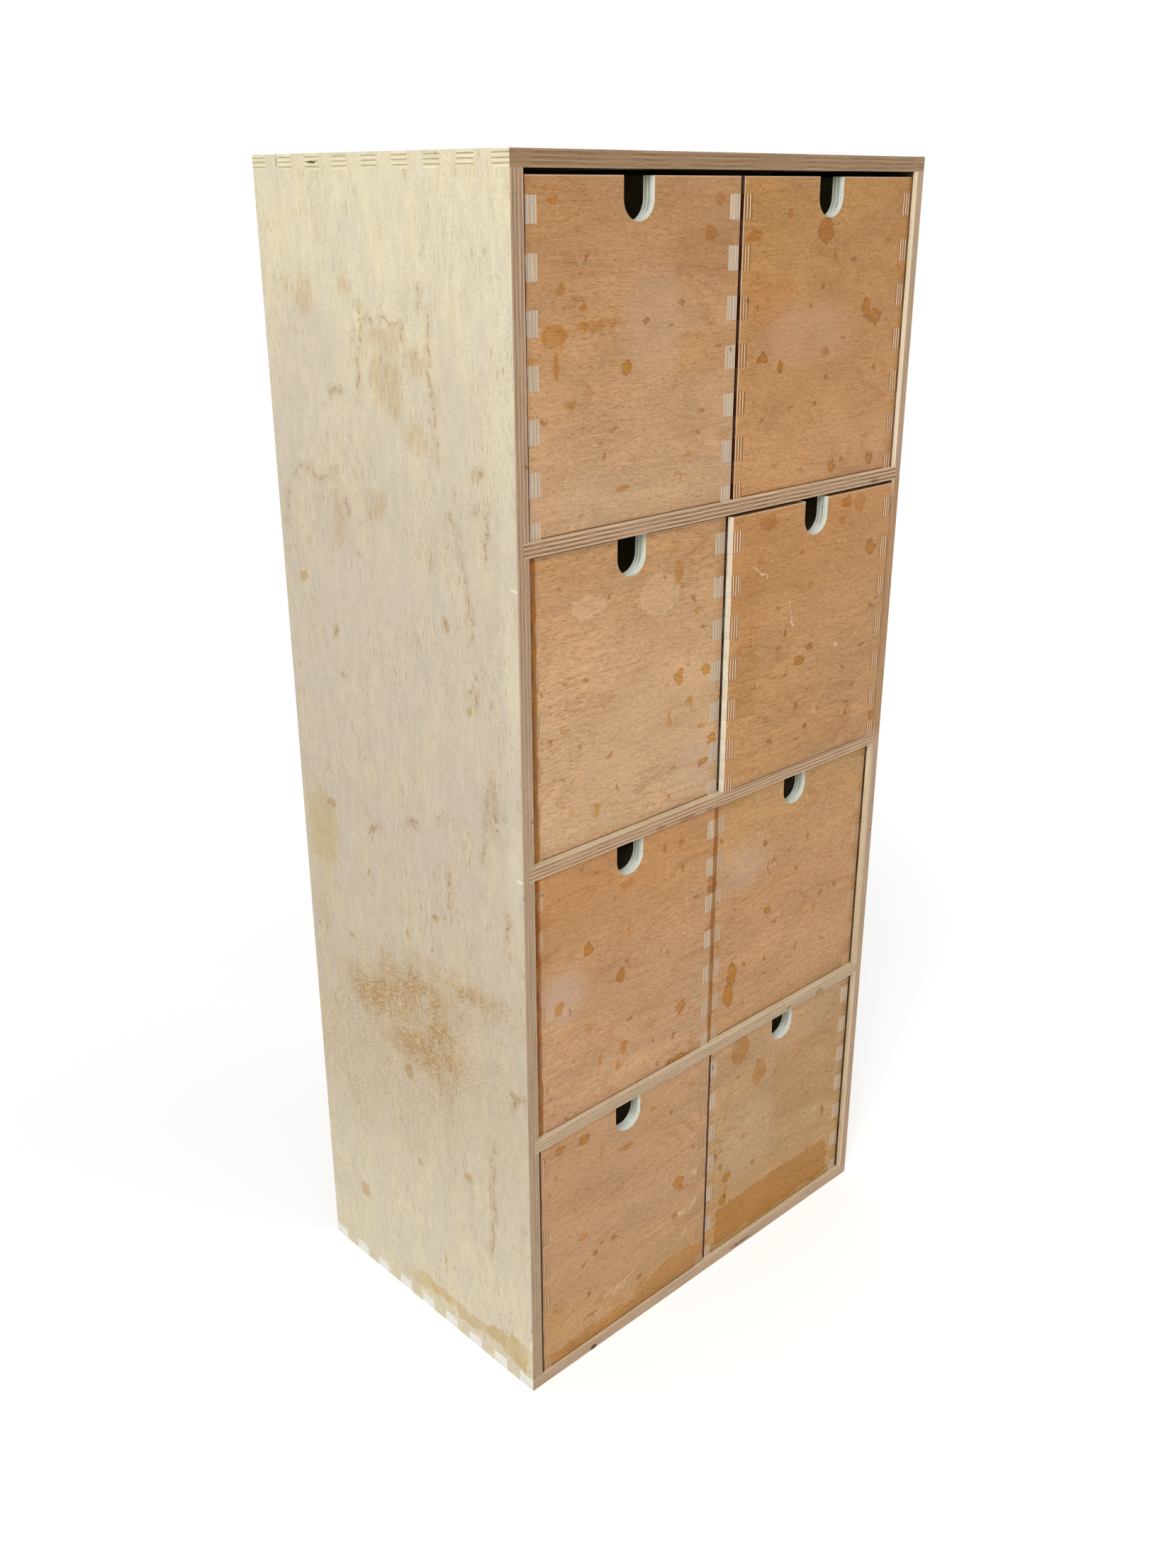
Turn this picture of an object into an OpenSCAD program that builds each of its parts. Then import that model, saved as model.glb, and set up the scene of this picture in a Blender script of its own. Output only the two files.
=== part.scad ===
// Plywood drawer cabinet: a finger-jointed case with three housed shelves and a pinned
// back, and eight box-jointed drawers in two columns, each with a U-shaped finger pull.
// Millimetres. The origin is the centre of the underside, +Z is up, and the fronts face -Y.

/* [Case] */
// Overall width of the case
case_w = 360; // [300:1:480]
// Overall depth of the case, from its front edges to its back edges
case_d = 238; // [180:1:360]
// Overall height of the case
case_h = 805; // [600:1:1100]
// How far each shelf sits below its even place, from the top shelf down
shelf_drop = [1.5, 1.5, 0.7]; // [-2:0.1:2]
// Thickness of the boards of the case and of the shelves
case_t = 9; // [8:0.5:14]
// Nominal width of one finger in the corner joints of the case
case_finger = 14; // [8:1:24]
// How far the ends of a shelf are let into the sides of the case
shelf_housing = 4; // [2:0.5:6]

/* [Back] */
// Thickness of the back panel
back_t = 4; // [3:0.5:6]
// Width of the rebate that the back panel lies in
back_rebate = 5; // [3:0.5:6]
// Panel pins up each side, for each row of drawers
pins_per_row = 2; // [1:1:4]
// Panel pins along the top edge and along the bottom edge
pins_per_edge = 4; // [2:1:8]
// Length of a panel pin, with its head
pin_l = 15; // [10:1:25]
// Diameter of a pin's shank
pin_d = 1.4; // [1:0.1:1.8]
// Diameter of a pin's head
pin_head_d = 2.6; // [2:0.1:2.8]
// Thickness of a pin's head, which is driven flush
pin_head_t = 0.7; // [0.4:0.1:1.2]
// Clearance all round a pin in its hole
pin_clearance = 0.05; // [0.02:0.01:0.1]

/* [Drawers] */
// Thickness of a drawer's front, back and sides
drawer_t = 9; // [6:0.5:12]
// Nominal width of one finger in the corner joints of a drawer
drawer_finger = 14.1; // [8:0.1:24]
// Gap beside each drawer, to the case or to the next drawer
side_gap = 1.3; // [0.5:0.1:4]
// Gap above a drawer in the lowest of the rows
top_gap = 1; // [0.5:0.1:8]
// How far a front lies behind the front edges of the case when its drawer is pushed home
closed_recess = 6; // [0:0.5:20]
// Thickness of a drawer's bottom panel
bottom_t = 4; // [3:0.5:6]
// Height of the bottom panel above the lower edges of its drawer
bottom_up = 6; // [3:0.5:15]
// Depth of the groove that holds the bottom panel
groove_depth = 4; // [2:0.5:5]
// Play of the bottom panel in its groove, above it and at its edges
groove_play = 0.2; // [0.1:0.05:0.5]

/* [Finger pulls] */
// Width of the U-shaped notch in a drawer's front
pull_w = 24; // [16:0.5:40]
// Depth of the notch below the front's top edge
pull_depth = 23.5; // [20:0.5:60]

/* [As pictured] */
// How far each left drawer is drawn out of its closed place, from the top row down
left_out = [4, 1.7, 2.8, 4.2]; // [0:0.1:150]
// How far each right drawer is drawn out of its closed place, from the top row down
right_out = [3.6, 6.9, 1.4, 2.5]; // [0:0.1:150]
// How far each left drawer lies right of its middle place, as a share of the side gap
left_shift = [0.2, -0.3, 0, -0.4]; // [-0.9:0.1:0.4]
// How far each right drawer lies right of its middle place, as a share of the side gap
right_shift = [0.8, 0, 0, -0.2]; // [-0.4:0.1:0.9]

/* [Hidden] */
ROWS = 4;
SIDES = ["left", "right"];
DRAWER_PIECES = ["front", "back", "left_side", "right_side", "bottom"];
over = 1;            // how far a cut runs past the face that it opens
least_end = 5;       // shortest finger at the top and bottom of a drawer's corner

// The case
even_row = (case_h - (ROWS + 1) * case_t) / ROWS;
row_h = [for (row = [1:ROWS]) shelf_z(row - 1) - shelf_z(row) - case_t];
inner_w = case_w - 2 * case_t;
inner_d = case_d - back_t;
case_fingers = 2 * floor(case_d / (2 * case_finger)) + 1;
case_step = case_d / case_fingers;

// A drawer, in its own frame: the origin is the middle of the front's lower edge
drawer_w = (inner_w - 3 * side_gap) / 2;
drawer_h = min(row_h) - top_gap;
drawer_d = inner_d - closed_recess;
mid_fingers = 2 * floor((drawer_h - 2 * least_end) / (2 * drawer_finger));
end_finger = (drawer_h - mid_fingers * drawer_finger) / 2;
pull_r = pull_w / 2;

birch = [0.87, 0.80, 0.64];
birch_edge = [0.70, 0.58, 0.46];
front_wood = [0.76, 0.56, 0.36];
panel_wood = [0.78, 0.68, 0.52];
pin_steel = [0.55, 0.55, 0.57];

$fn = 48;

// Underside of the board below a row of drawers, where row 0 is the top board's own
function shelf_z(row) = case_h - case_t - row * (even_row + case_t) - drop_below(row);
function drop_below(row) = row > 0 && row < ROWS ? shelf_drop[row - 1] : 0;
function drawer_name(row, side) = str("drawer_", row, "_", side);

// A box given by its lowest and highest corners
module block(low, high) {
    translate(low) cube(high - low);
}

// ---- Case ----

// Takes out every second place of a corner joint: parity 0 opens the first place and the last
module case_notches(parity, low_x, high_x, low_z, high_z) {
    for (i = [parity:2:case_fingers - 1]) {
        front = -case_d / 2 + i * case_step - (i == 0 ? over : 0);
        rear = -case_d / 2 + (i + 1) * case_step + (i == case_fingers - 1 ? over : 0);
        block([low_x, front, low_z], [high_x, rear, high_z]);
    }
}

// The space of the back panel, in a rebate all round the back of the case
module back_space(behind = 0) {
    reach_x = inner_w / 2 + back_rebate;
    block([-reach_x, inner_d - case_d / 2, case_t - back_rebate],
          [reach_x, case_d / 2 + behind, case_h - case_t + back_rebate]);
}

// The space of one shelf, with its ends let into both sides
module shelf_space(row, front = 0) {
    reach_x = inner_w / 2 + shelf_housing;
    block([-reach_x, -case_d / 2 - front, shelf_z(row)],
          [reach_x, inner_d - case_d / 2, shelf_z(row) + case_t]);
}

// Puts its child, which points along +Z, at the back face of every pin, pointing into the case
module at_pins() {
    edge_x = inner_w / 2 + back_rebate / 2;
    for (row = [1:ROWS], k = [1:pins_per_row], hand = [-1, 1]) {
        z = shelf_z(row) + case_t + row_h[row - 1] * (k - 0.5) / pins_per_row;
        translate([hand * edge_x, case_d / 2, z]) rotate([90, 0, 0]) children();
    }
    for (k = [1:pins_per_edge], z = [case_t - back_rebate / 2, case_h - case_t + back_rebate / 2]) {
        x = inner_w * ((k - 0.5) / pins_per_edge - 0.5);
        translate([x, case_d / 2, z]) rotate([90, 0, 0]) children();
    }
}

module pin(ease = 0, behind = 0) {
    translate([0, 0, -behind]) cylinder(d = pin_head_d + 2 * ease, h = pin_head_t + behind);
    translate([0, 0, -behind]) cylinder(d = pin_d + 2 * ease, h = pin_l + ease + behind);
}

module pin_holes() {
    at_pins() pin(pin_clearance, over);
}

// One side of the case: hand -1 is the left side and 1 the right
module case_side(hand) {
    outer = hand * case_w / 2;
    inner = hand * inner_w / 2;
    low_x = min(outer, inner);
    high_x = max(outer, inner);
    color(birch) difference() {
        block([low_x, -case_d / 2, 0], [high_x, case_d / 2, case_h]);
        case_notches(0, low_x - over, high_x + over, -over, case_t);
        case_notches(0, low_x - over, high_x + over, case_h - case_t, case_h + over);
        for (row = [1:ROWS - 1]) shelf_space(row, over);
        back_space(over);
        pin_holes();
    }
}

module case_left_side() {
    case_side(-1);
}

module case_right_side() {
    case_side(1);
}

// The top or the bottom board, whose fingers come first and last in the corner joints
module case_end(low_z) {
    high_z = low_z + case_t;
    color(birch) difference() {
        block([-case_w / 2, -case_d / 2, low_z], [case_w / 2, case_d / 2, high_z]);
        case_notches(1, -case_w / 2 - over, -inner_w / 2, low_z - over, high_z + over);
        case_notches(1, inner_w / 2, case_w / 2 + over, low_z - over, high_z + over);
        back_space(over);
        pin_holes();
    }
}

module case_top() {
    case_end(case_h - case_t);
}

module case_bottom() {
    case_end(0);
}

module shelf(row) {
    color(birch_edge) shelf_space(row);
}

module back_panel() {
    color(panel_wood) difference() {
        back_space();
        pin_holes();
    }
}

module back_pins() {
    color(pin_steel) at_pins() pin();
}

// ---- Drawers ----

// Puts its child in the place of one drawer, as far out as pictured
module in_drawer_place(row, side) {
    out = side == "left" ? left_out[row - 1] : right_out[row - 1];
    shift = side == "left" ? left_shift[row - 1] : right_shift[row - 1];
    hand = side == "left" ? -1 : 1;
    x = hand * (drawer_w + side_gap) / 2 + shift * side_gap;
    y = closed_recess - case_d / 2 - out;
    translate([x, y, shelf_z(row) + case_t]) children();
}

// The fingers of the drawer's sides in one corner, which the front or the back leaves open
module side_finger_places(low_x, high_x, low_y, high_y) {
    for (i = [0:2:mid_fingers - 2]) {
        high_z = drawer_h - end_finger - i * drawer_finger;
        block([low_x, low_y, high_z - drawer_finger], [high_x, high_y, high_z]);
    }
    block([low_x, low_y, -over], [high_x, high_y, end_finger]);
}

// The fingers of the front or the back in one corner, which the drawer's side leaves open
module front_finger_places(low_x, high_x, low_y, high_y) {
    for (i = [1:2:mid_fingers - 1]) {
        high_z = drawer_h - end_finger - i * drawer_finger;
        block([low_x, low_y, high_z - drawer_finger], [high_x, high_y, high_z]);
    }
    block([low_x, low_y, drawer_h - end_finger], [high_x, high_y, drawer_h + over]);
}

// The space of the bottom panel in its grooves: play 0 is the panel itself
module bottom_space(play = 0) {
    reach_x = drawer_w / 2 - drawer_t + groove_depth - groove_play + play;
    low_y = drawer_t - groove_depth + groove_play - play;
    high_y = drawer_d - drawer_t + groove_depth - groove_play + play;
    block([-reach_x, low_y, bottom_up], [reach_x, high_y, bottom_up + bottom_t + play]);
}

// A board across the drawer, from low_y to high_y, notched for the fingers of both sides
module cross_board(low_y, high_y) {
    inner_x = drawer_w / 2 - drawer_t;
    difference() {
        block([-drawer_w / 2, low_y, 0], [drawer_w / 2, high_y, drawer_h]);
        side_finger_places(-drawer_w / 2 - over, -inner_x, low_y - over, high_y + over);
        side_finger_places(inner_x, drawer_w / 2 + over, low_y - over, high_y + over);
        bottom_space(groove_play);
    }
}

module drawer_front() {
    centre_z = drawer_h - pull_depth + pull_r;
    color(front_wood) difference() {
        cross_board(0, drawer_t);
        translate([0, drawer_t + over, centre_z]) rotate([90, 0, 0])
            cylinder(r = pull_r, h = drawer_t + 2 * over);
        block([-pull_r, -over, centre_z], [pull_r, drawer_t + over, drawer_h + over]);
    }
}

module drawer_back() {
    color(birch) cross_board(drawer_d - drawer_t, drawer_d);
}

module drawer_side(hand) {
    outer = hand * drawer_w / 2;
    inner = hand * (drawer_w / 2 - drawer_t);
    low_x = min(outer, inner);
    high_x = max(outer, inner);
    color(birch) difference() {
        block([low_x, 0, 0], [high_x, drawer_d, drawer_h]);
        front_finger_places(low_x - over, high_x + over, -over, drawer_t);
        front_finger_places(low_x - over, high_x + over, drawer_d - drawer_t, drawer_d + over);
        bottom_space(groove_play);
    }
}

module drawer_bottom() {
    color(panel_wood) bottom_space();
}

module drawer_piece(piece) {
    if (piece == "front") drawer_front();
    if (piece == "back") drawer_back();
    if (piece == "left_side") drawer_side(-1);
    if (piece == "right_side") drawer_side(1);
    if (piece == "bottom") drawer_bottom();
}

// ---- The cabinet ----

case_left_side();
case_right_side();
case_top();
case_bottom();
shelf(1);  // shelf_1
shelf(2);  // shelf_2
shelf(3);  // shelf_3
back_panel();
back_pins();
for (row = [1:ROWS], side = SIDES, piece = DRAWER_PIECES)
    in_drawer_place(row, side) drawer_piece(piece);
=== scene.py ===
# Looks of the plywood drawer cabinet: a finger-jointed case with eight drawers, in plain
# birch plywood with reddish drawer fronts, worn, drip-stained and water-marked with use.
# Metres, in the frame of the solids: X to the right, Y to the back, Z up.

import math

import bmesh
import bpy
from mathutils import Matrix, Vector


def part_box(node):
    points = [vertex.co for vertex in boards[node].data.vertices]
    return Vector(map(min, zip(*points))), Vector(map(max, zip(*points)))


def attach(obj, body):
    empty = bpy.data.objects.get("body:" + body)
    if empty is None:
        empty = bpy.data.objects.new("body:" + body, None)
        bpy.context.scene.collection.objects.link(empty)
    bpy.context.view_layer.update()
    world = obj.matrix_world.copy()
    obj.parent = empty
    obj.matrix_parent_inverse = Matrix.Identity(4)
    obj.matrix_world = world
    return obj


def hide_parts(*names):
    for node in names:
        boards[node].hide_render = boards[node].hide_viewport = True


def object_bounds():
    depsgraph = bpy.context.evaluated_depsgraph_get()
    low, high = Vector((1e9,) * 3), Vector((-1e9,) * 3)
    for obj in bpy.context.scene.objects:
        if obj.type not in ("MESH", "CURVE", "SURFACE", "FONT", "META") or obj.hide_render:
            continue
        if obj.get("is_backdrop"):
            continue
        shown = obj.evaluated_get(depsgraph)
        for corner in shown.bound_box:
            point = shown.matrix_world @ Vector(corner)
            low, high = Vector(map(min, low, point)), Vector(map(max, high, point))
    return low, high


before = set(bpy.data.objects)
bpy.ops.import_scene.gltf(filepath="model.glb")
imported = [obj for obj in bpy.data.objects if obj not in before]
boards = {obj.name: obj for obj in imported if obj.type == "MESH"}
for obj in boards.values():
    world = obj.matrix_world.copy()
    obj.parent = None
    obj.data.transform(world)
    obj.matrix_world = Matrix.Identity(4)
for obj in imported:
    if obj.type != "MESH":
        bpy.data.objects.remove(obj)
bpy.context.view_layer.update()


# ---- Sides of the case ----
# Two upright boards of 9 mm birch plywood, seven plies, with the grain of the face running up.
# The ends are cut in fingers, and the fingers of the top and bottom boards come through them.
# Bare of varnish by now: tide marks, rubbed patches and scuffs all over the left one.

MM = 0.001
X, Y, Z = 0, 1, 2
ROWS = (1, 2, 3, 4)
COLUMNS = ("left", "right")


def shade(red, green, blue):
    """A colour given from 0 to 255, in the linear light that a finish is written in."""
    def linear(value):
        value /= 255
        return value / 12.92 if value <= 0.04045 else ((value + 0.055) / 1.055) ** 2.4
    return linear(red), linear(green), linear(blue), 1


def along(axis, length, across):
    """A size that is one length along an axis and another across it."""
    size = [across, across, across]
    size[axis] = length
    return size


FADED_PLIES = shade(175, 151, 123)


class Finish:
    """A finish in the making. Places are in millimetres, in the frame of the solids. A share
    is how much of a mark or a colour there is, from 0 to 1."""

    def __init__(self, name):
        self.material = bpy.data.materials.new(name)
        self.material.use_nodes = True
        self.tree = self.material.node_tree
        self.shader = self.tree.nodes["Principled BSDF"]
        places = self.tree.nodes.new("ShaderNodeTexCoord").outputs
        self.place = self.vector("SCALE", places["Object"], scale=1 / MM)
        self.share = places["Generated"]
        self.facing = places["Normal"]

    def put(self, kind, inputs, output=0, **settings):
        """Adds a node, feeds it numbers or other nodes' outputs, and returns its output."""
        node = self.tree.nodes.new(kind)
        for setting, value in settings.items():
            setattr(node, setting, value)
        for place, value in inputs.items():
            if isinstance(value, bpy.types.NodeSocket):
                self.tree.links.new(value, node.inputs[place])
            else:
                node.inputs[place].default_value = value
        return node.outputs[output]

    def math(self, operation, *values):
        return self.put("ShaderNodeMath", dict(enumerate(values)), operation=operation)

    def times(self, share, other):
        return self.math("MULTIPLY", share, other)

    def vector(self, operation, *values, scale=None, output=0):
        inputs = dict(enumerate(values))
        if scale is not None:
            inputs[3] = scale
        return self.put("ShaderNodeVectorMath", inputs, output, operation=operation)

    def part(self, vector, axis):
        return self.put("ShaderNodeSeparateXYZ", {0: vector}, axis)

    def flat(self, axis, corner=(0, 0)):
        """Places on an upright face, across it and up it from a corner, as X and Z."""
        parts = {
            0: self.math("SUBTRACT", self.part(self.place, axis), corner[0]),
            2: self.math("SUBTRACT", self.part(self.place, Z), corner[1]),
        }
        return self.put("ShaderNodeCombineXYZ", parts)

    def step(self, value, start, end, full=1):
        """0 at the start and full at the end, with a soft change between them."""
        inputs = {0: value, 1: start, 2: end, 4: full}
        return self.put("ShaderNodeMapRange", inputs, interpolation_type="SMOOTHSTEP")

    def noise(self, size, detail=2, at=None, output=0):
        """Cloudy noise about 0.5, with features of one size or of a size for each axis."""
        at = self.place if at is None else at
        size = (size,) * 3 if isinstance(size, (int, float)) else size
        inputs = {"Vector": self.vector("DIVIDE", at, size), "Scale": 1, "Detail": detail}
        return self.put("ShaderNodeTexNoise", inputs, output)

    def patches(self, size, detail, start, end, at=None, full=1):
        """Scattered patches, full where the noise is past the end and 0 short of the start."""
        return self.step(self.noise(size, detail, at), start, end, full)

    def aside(self, at=None):
        """The same places moved away, for a second noise that doesn't follow the first."""
        return self.vector("ADD", self.place if at is None else at, (430, 170, 290))

    def wobble(self, at, *pushes):
        """Places pushed about, so that an outline drawn by them wanders. A push is given by the
        size of its waves and by how far it goes."""
        for size, amount in pushes:
            push = self.vector("SUBTRACT", self.noise(size, 2, at, output=1), (0.5,) * 3)
            at = self.vector("ADD", at, self.vector("SCALE", push, scale=2 * amount))
        return at

    def mix(self, share, colour, other, blend="MIX"):
        return self.put("ShaderNodeMix", {0: share, 6: colour, 7: other}, 2,
                        data_type="RGBA", blend_type=blend)

    def stain(self, share, colour, tint):
        """Darkens the wood under a stain and keeps its grain."""
        return self.mix(share, colour, (*tint, 1), "MULTIPLY")

    def vary(self, colour, value, amount):
        """Lightens the colour where the value is over 0.5 and darkens it where it is under."""
        light = self.math("MULTIPLY_ADD", value, 2 * amount, 1 - amount)
        return self.vector("SCALE", colour, scale=light)

    def ramp(self, value, stops):
        """The colours along a value, each given by its place and from 0 to 255."""
        node = self.tree.nodes.new("ShaderNodeValToRGB")
        self.tree.links.new(value, node.inputs[0])
        ends = node.color_ramp.elements
        while len(ends) < len(stops):
            ends.new(0.5)
        for end, (place, colour) in zip(ends, stops):
            end.position = place
            end.color = shade(*colour)
        return node.outputs[0]

    def spots(self, at, spots, melt=0.8):
        """How far a place is outside the nearest of some round spots, in millimetres. A spot is
        given by its middle, across and up, and by half its width and half its height."""
        nearest = None
        for across, up, wide, high in spots:
            round_off = self.vector("MULTIPLY_ADD", at, (1 / wide, 0, 1 / high),
                                    (-across / wide, 0, -up / high))
            reach = self.vector("LENGTH", round_off, output=1)
            size = min(wide, high)
            outside = self.math("MULTIPLY_ADD", reach, size, -size)
            nearest = outside if nearest is None else self.math("SMOOTH_MIN", nearest, outside, melt)
        return nearest

    def slabs(self, at, slabs, corner=4):
        """The same for oblong patches with rounded corners."""
        nearest = None
        for across, up, wide, high in slabs:
            off = self.vector("ABSOLUTE", self.vector("SUBTRACT", at, (across, 0, up)))
            off = self.vector("SUBTRACT", off, (wide, 0, high))
            outside = self.math("SMOOTH_MAX", self.part(off, X), self.part(off, Z), corner)
            nearest = outside if nearest is None else self.math("MINIMUM", nearest, outside)
        return nearest

    def rim(self, outside, wide, full, sharp=0.1):
        """A line along the outline of spots or slabs, full at the outline and 0 that wide off."""
        return self.step(self.math("ABSOLUTE", outside), wide, sharp, full)

    def strokes(self, at, lines):
        """The distance to the nearest of some drawn lines, each given by its points."""
        nearest = None
        for line in lines:
            for start, end in zip(line, line[1:]):
                run = Vector((end[0] - start[0], 0, end[1] - start[1]))
                off = self.vector("SUBTRACT", at, (start[0], 0, start[1]))
                done = self.vector("DOT_PRODUCT", off, run / run.length_squared, output=1)
                done = self.put("ShaderNodeMath", {0: done, 1: 1}, operation="MULTIPLY", use_clamp=True)
                foot = self.vector("SCALE", tuple(run), scale=done)
                away = self.vector("LENGTH", self.vector("SUBTRACT", off, foot), output=1)
                nearest = away if nearest is None else self.math("MINIMUM", nearest, away)
        return nearest

    def looks(self, axis):
        """1 on the faces that look to the left or to the front, by the axis."""
        return self.step(self.part(self.facing, axis), -0.3, -0.8)

    def edge(self, through):
        """0 on the faces of a board and 1 on its edges, by the axis of its thickness."""
        return self.step(self.math("ABSOLUTE", self.part(self.facing, through)), 0.8, 0.6)

    def plies(self, through, colours, plies=7, thin=0, line=0.016, uneven=0, faded=None):
        """The layers that show in a board's edge, by the colours of even plies, odd plies and glue.
        Thin is the share by which the odd plies are squeezed, as end grain shows them, and
        uneven is how far the plies wander and blur. Faded says where they all turn grey."""
        even, odd, glue = colours
        stops = [(0, even)]
        for ply in range(1, plies):
            below, above = (odd, even) if ply % 2 == 0 else (even, odd)
            at = (ply + (thin / 2 if ply % 2 else -thin / 2)) / plies
            stops += [(at - line, below), (at, glue), (at + line, above)]
        swing = 0.04 + 0.22 * uneven
        share = self.math("MULTIPLY_ADD", self.noise(30, 3), swing, self.part(self.share, through))
        colour = self.ramp(self.math("SUBTRACT", share, swing / 2), stops)
        if uneven:
            middle = [(one + other) / 2 for one, other in zip(shade(*even), shade(*odd))]
            colour = self.mix(self.patches(18, 3, 0.40, 0.62, self.aside(), uneven), colour, middle)
        if faded:
            colour = self.mix(faded, colour, FADED_PLIES)
        colour = self.vary(colour, self.noise(along(through, 0.7, 34), 3), 0.42)
        colour = self.vary(colour, self.noise(along(through, 0.4, 6), 2), 0.26)
        knots = self.patches(7, 1, 0.72, 0.78)
        return self.stain(knots, colour, (0.60, 0.52, 0.45))

    def birch(self, grain, colour, warm, cool=None):
        """A pale birch face: mottled warm and cool, with faint streaks, speckle and flecks."""
        clouds = self.patches(along(grain, 46, 20), 2.4, 0.40, 0.64, full=0.5)
        colour = self.mix(clouds, colour, warm)
        if cool:
            clouds = self.patches(along(grain, 40, 18), 2.4, 0.42, 0.64, self.aside(), 0.5)
            colour = self.mix(clouds, colour, cool)
        colour = self.vary(colour, self.noise(along(grain, 18, 6), 3), 0.13)
        colour = self.vary(colour, self.noise(along(grain, 9, 1.1), 3), 0.12)
        colour = self.vary(colour, self.noise(1.7, 3), 0.18)
        flecks = self.patches(along(grain, 5, 0.9), 1, 0.62, 0.74, full=0.5)
        return self.stain(flecks, colour, (0.84, 0.77, 0.66))

    def done(self, colour, grain, rough=(0.42, 0.62), shine=0.2):
        """Joins the colour to the shader, with fibres that change the gloss and stand up a little."""
        fibres = self.noise(along(grain, 9, 0.4), 3)
        low, high = rough
        self.tree.links.new(colour, self.shader.inputs["Base Color"])
        self.tree.links.new(self.math("MULTIPLY_ADD", fibres, high - low, low),
                            self.shader.inputs["Roughness"])
        relief = {"Height": fibres, "Strength": 0.25, "Distance": 0.2 * MM}
        self.tree.links.new(self.put("ShaderNodeBump", relief), self.shader.inputs["Normal"])
        self.shader.inputs["Specular IOR Level"].default_value = shine
        return self.material


# How close points are that become one, how flat faces are that become one, which arrises are
# sharp, and how wide they are eased
TOUCHING = 0.001 * MM
FLAT = math.radians(0.5)
SHARP = math.radians(60)
EASED = 0.22 * MM


def finish_board(board, material):
    """Gives a solid its finish and rounds its arrises as sandpaper does."""
    board.data.materials.clear()
    board.data.materials.append(material)
    weld = board.modifiers.new("weld", "WELD")
    weld.merge_threshold = TOUCHING
    whole = board.modifiers.new("whole faces", "DECIMATE")
    whole.decimate_type = "DISSOLVE"
    whole.angle_limit = FLAT
    ease = board.modifiers.new("eased arrises", "BEVEL")
    ease.width = EASED
    ease.segments = 2
    ease.limit_method = "ANGLE"
    ease.angle_limit = SHARP


# Finger ends and front edges, in the order even plies, odd plies, glue lines
PALE_FINGERS = (224, 210, 180), (172, 158, 128), (196, 182, 150)
FRONT_EDGE = (187, 156, 127), (153, 125, 98), (122, 95, 71)
# The face from the foot up, lighter at the top and the bottom: partly the tone of the aged wood and
# partly painted light
SIDE_HEIGHTS = [
    (0.00, (222, 210, 183)),
    (0.10, (216, 203, 178)),
    (0.25, (204, 188, 162)),
    (0.50, (202, 187, 165)),
    (0.75, (206, 192, 169)),
    (0.92, (221, 209, 181)),
    (1.00, (224, 212, 183)),
]
SIDE_WARM = (1.13, 1.12, 1.01)
SIDE_COOL = (1.02, 1.04, 1.07)
SIDE_GREY = shade(206, 192, 172)


def case_edges(wood, through, front=FRONT_EDGE, ends=PALE_FINGERS, uneven=0.45, faded=None):
    """Brown along the front and the back of the case, pale in the fingers of the corners."""
    frontal = wood.step(wood.math("ABSOLUTE", wood.part(wood.facing, Y)), 0.4, 0.7)
    fingers = wood.plies(through, ends, thin=0.5, line=0.03)
    front = wood.plies(through, front, uneven=uneven, faded=faded)
    return wood.mix(frontal, fingers, front)


def side_face(wood):
    # Lighter at the top and the bottom, partly painted light
    colour = wood.ramp(wood.part(wood.share, Z), SIDE_HEIGHTS)
    warm, cool = (wood.vector("MULTIPLY", colour, tint) for tint in (SIDE_WARM, SIDE_COOL))
    return wood.birch(Z, colour, warm, cool)


def tide_marks(wood, at, lines):
    """Thin brown lines that old water left along its edge, strong here and lost there."""
    away = wood.strokes(wood.wobble(at, (9, 5), (2.2, 1.8)), lines)
    line = wood.math("MAXIMUM", wood.step(away, 1.2, 0.3), wood.step(away, 6, 0.5, 0.3))
    return wood.times(line, wood.patches(8, 2, 0.34, 0.50, at))


def scuff_marks(wood, at, spots, full):
    return wood.step(wood.spots(wood.wobble(at, (7, 4), (2, 1.4)), spots), 0.7, -0.9, full)


# Marks on the outside of the left side, by their place from front to back and up
TIDE_MARKS = [
    [(-19, 714), (-12, 714), (-4, 718), (1, 714)], [(3, 714), (10, 717), (18, 716), (26, 704)],
    [(20, 699), (21, 689), (24, 669)], [(17, 723), (17, 705)], [(-22, 716), (-23, 700), (-36, 699)],
    [(-48, 724), (-47, 690), (-50, 660), (-52, 640)], [(-39, 737), (-39, 724)],
    [(55, 627), (59, 620), (72, 616), (80, 621), (92, 621), (99, 615)], [(106, 602), (113, 584)],
    [(-95, 623), (-93, 606), (-92, 590)], [(-88, 620), (-84, 615)],
    [(-60, 612), (-68, 600), (-72, 580), (-76, 562), (-77, 536)], [(-80, 500), (-80, 519), (-73, 506)],
    [(-95, 426), (-94, 455), (-91, 459), (-88, 453), (-86, 430), (-81, 398)],
    [(-104, 370), (-104, 340)], [(-46, 380), (-46, 345)], [(40, 674), (53, 671)],
    [(53, 624), (53, 604)], [(-82, 190), (-82, 128), (-77, 92)],
    [(-117, 242), (-105, 235), (-104, 229)], [(42, 612), (42, 596)], [(-25, 530), (-25, 520)],
    [(62, 520), (66, 514)], [(30, 390), (38, 382)], [(-42, 420), (-38, 412)], [(-14, 401), (-4, 403)],
]
OLD_WATER = [(-4, 705, 17, 7), (-8, 681, 16, 19), (-34, 695, 8, 8), (72, 728, 11, 13), (90, 732, 5, 6),
             (32, 733, 6, 7), (-33, 652, 8, 7), (10, 607, 10, 7), (-91, 436, 4, 22), (50, 590, 8, 14),
             (-88, 640, 6, 6)]
YELLOWED = [(96, 366, 18, 34), (104, 300, 6, 16)]
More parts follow.
